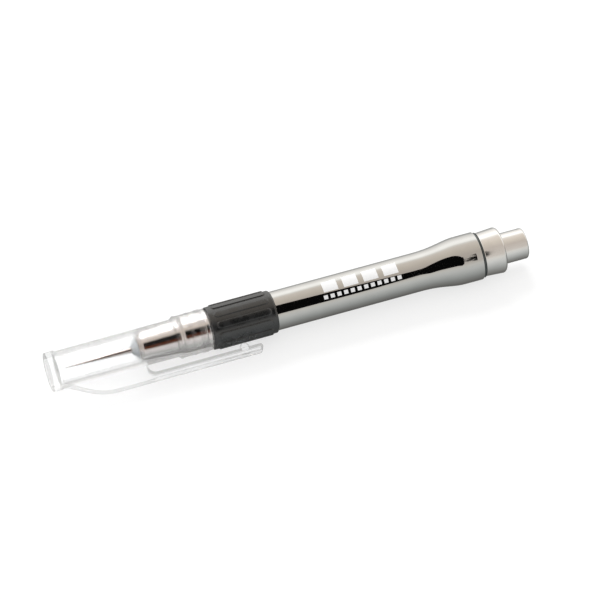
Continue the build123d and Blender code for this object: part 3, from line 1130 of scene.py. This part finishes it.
@dataclass(frozen=True)
class Studio:
    """Camera, pale floor, soft light and reflection cards."""

    place: Place
    oblique: float = 11.8
    lift: float = 42.8
    lean: float = 15.25
    distance: float = 1.0
    view_width: float = 0.16575
    aim_along: float = 26.85
    aim_above: float = 1.05
    sensor: float = 36.0
    through_cap: Colour = (0.94, 0.94, 0.94, 1.0)
    soft_fill: Colour = (0.80, 0.80, 0.80, 1.0)
    inside_limit: Colour = (0.95, 0.90, 0.87, 1.0)
    room: tuple[tuple[float, tuple[float, float, float]], ...] = (
        (-180, (0.80, 0.80, 0.78)),
        (-137, (0.20, 0.20, 0.19)),
        (-98, (0.20, 0.20, 0.19)),
        (-77, (0.32, 0.32, 0.31)),
        (-62, (0.40, 0.41, 0.40)),
        (-38, (0.60, 0.62, 0.61)),
        (-7, (0.89, 0.90, 0.88)),
        (8, (0.97, 0.95, 0.90)),
        (20, (0.86, 0.80, 0.74)),
        (62, (0.78, 0.70, 0.63)),
        (89, (0.96, 0.87, 0.76)),
        (112, (1.12, 1.02, 0.92)),
        (121, (1.25, 1.20, 1.12)),
        (130, (1.72, 1.70, 1.64)),
        (143, (1.78, 1.75, 1.70)),
        (157, (1.50, 1.47, 1.42)),
        (172, (1.18, 1.15, 1.10)),
        (180, (1.10, 1.08, 1.05)),
    )

    def build(self) -> None:
        """Set up everything round the pen."""
        self._camera()
        self._floor()
        self._world()
        self._lights()
        self._cards()
        bpy.context.scene.view_settings.view_transform = "Standard"

    def _camera(self) -> None:
        """Make the camera and aim it."""
        oblique, lift, lean = (math.radians(angle) for angle in (self.oblique, self.lift, self.lean))
        back = Vector((-math.sin(oblique), -math.cos(oblique) * math.cos(lift), math.cos(oblique) * math.sin(lift)))
        pen = Vector((1, 0, 0))
        pen = (pen - back * pen.dot(back)).normalized()
        above = back.cross(pen)
        right = pen * math.cos(lean) - above * math.sin(lean)
        up = back.cross(right)
        aim = self.place.point(self.aim_along) + above * (self.aim_above * MM)
        data = bpy.data.cameras.new("camera")
        data.sensor_width = self.sensor
        data.lens = self.sensor * self.distance / self.view_width
        data.clip_start, data.clip_end = 0.05, 30.0
        camera = bpy.data.objects.new("camera", data)
        camera.rotation_mode = "QUATERNION"
        camera.location = aim + back * self.distance
        camera.rotation_quaternion = Matrix((right, up, back)).transposed().to_quaternion()
        bpy.context.scene.collection.objects.link(camera)
        bpy.context.scene.camera = camera

    def _floor(self) -> None:
        """Lay the pale floor."""
        mesh = bpy.data.meshes.new("floor")
        half = 9.0
        mesh.from_pydata([(-half, -half, 0), (half, -half, 0), (half, half, 0), (-half, half, 0)], [], [(0, 1, 2, 3)])
        floor = add_piece("floor", mesh)
        made, graph = empty_material("pale_floor")
        place = graph.node("ShaderNodeTexCoord").outputs["Object"]
        grain = graph.noise(place, 700.0, 2.0)
        colour = graph.mix_colour(grain, (0.335, 0.335, 0.335, 1.0), (0.345, 0.345, 0.345, 1.0))
        glow = {"Base Color": colour, "Roughness": 1.0, "Specular IOR Level": 0.0}
        glow |= {"Emission Color": (1.0, 1.0, 1.0, 1.0), "Emission Strength": 0.69}
        shader = graph.node("ShaderNodeBsdfPrincipled", sockets=glow)
        clear = graph.node("ShaderNodeBsdfTransparent")
        hidden = RayKind.read(graph).mirrored
        seen = graph.node("ShaderNodeMixShader", sockets={0: hidden, 1: shader.outputs[0], 2: clear.outputs[0]})
        graph.node("ShaderNodeOutputMaterial", sockets={"Surface": seen.outputs[0]})
        mesh.materials.append(made)
        floor.visible_glossy = False

    def _world(self) -> None:
        """Fill the room with soft light: warm and bright above, cooler low down."""
        world = bpy.data.worlds.new("soft_room")
        bpy.context.scene.world = world
        world.use_nodes = True
        world.node_tree.nodes.clear()
        graph = Graph(world.node_tree)
        direction = graph.node("ShaderNodeTexCoord").outputs["Generated"]
        split = graph.node("ShaderNodeSeparateXYZ", sockets={0: direction})
        turn = graph.value(split, 2).angle_to(graph.value(split, 1) * -1.0)
        stops = [((angle + 180) / 360, (*colour, 1.0)) for angle, colour in self.room]
        sky = graph.node("ShaderNodeValToRGB", {"stops": stops}, {0: turn / math.tau + 0.5})
        rays = RayKind.read(graph)
        plain = (1 - rays.direct) * (1 - rays.mirrored)
        dimmed = graph.node("ShaderNodeMix", {"data_type": "RGBA", "blend_type": "DARKEN"}, {7: self.inside_limit})
        graph.feed(dimmed.inputs[0], rays.mirrored)
        graph.feed(dimmed.inputs[6], sky.outputs[0])
        seen = graph.mix_colour(plain, dimmed.outputs[2], self.through_cap)
        seen = graph.mix_colour(rays.soft, seen, self.soft_fill)
        light = graph.node("ShaderNodeBackground", sockets={"Color": seen, "Strength": 1.0})
        graph.node("ShaderNodeOutputWorld", sockets={"Surface": light.outputs[0]})

    def _lights(self) -> None:
        """Hang the key light above and behind the pen."""
        data = bpy.data.lights.new("key_light", "AREA")
        data.shape = "RECTANGLE"
        data.size, data.size_y = 0.6, 0.3
        data.energy = 6.0
        key = bpy.data.objects.new("key_light", data)
        key.visible_glossy = False
        key.location = Vector((0.05, 0.73, 0.65))
        key.rotation_mode = "QUATERNION"
        key.rotation_quaternion = (-key.location).to_track_quat("-Z", "Y")
        bpy.context.scene.collection.objects.link(key)

    def _cards(self) -> None:
        """Stand the dark cards that the polished pieces mirror."""
        panel = (
            (-0.30, -0.19), (0.04, -0.19), (0.10, -0.218), (0.125, -0.215), (0.155, -0.176), (0.1655, -0.164),
            (0.166, -0.10), (0.1664, -0.06), (0.1690, -0.06), (0.1694, -0.10), (0.1715, -0.115), (0.1735, -0.10),
            (0.1740, -0.06), (0.1745, -0.06), (0.1752, -0.12), (0.180, -0.16), (0.190, -0.16), (0.198, -0.08),
            (0.198, 0.06), (0.190, 0.14), (0.180, 0.14), (0.1752, 0.10), (0.1745, 0.01), (0.1740, 0.01),
            (0.1735, 0.03), (0.1715, 0.045), (0.1694, 0.03), (0.1690, -0.045), (0.1664, -0.045), (0.166, 0.08),
            (0.1655, 0.13), (0.155, 0.122), (0.135, 0.145), (0.110, 0.188), (0.085, 0.225), (0.05, 0.27),
            (0.02, 0.31), (-0.005, 0.33), (-0.30, 0.33),
        )
        nose_panel = (
            (-0.13, -0.12), (-0.11, -0.20), (-0.06, -0.256), (0.03, -0.256), (0.045, -0.225), (0.30, -0.215),
            (0.30, 0.27), (0.03, 0.28), (-0.06, 0.28), (-0.11, 0.22), (-0.13, 0.12),
        )
        black = (0.004, 0.004, 0.004, 1.0)
        brown = (0.11, 0.030, 0.010, 1.0)
        Card("dark_card", panel, black, black, inside=False).build(self.place)
        Card("nose_card", nose_panel, black, brown, inside=True, distance=0.49).build(self.place)


def main() -> None:
    """Build the pen and its studio, and report each piece."""
    logging.basicConfig(level=logging.INFO, format="%(message)s")
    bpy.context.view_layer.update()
    place = Place.from_frame()
    Studio(place).build()
    for group in (Nose(place), Grip(place), Barrel(place), RearEnd(place), Clutch(place), Cap(place)):
        group.build()
        LOG.info("%s: %s", type(group).__name__, ", ".join(group.made))


if __name__ == "__main__":
    main()
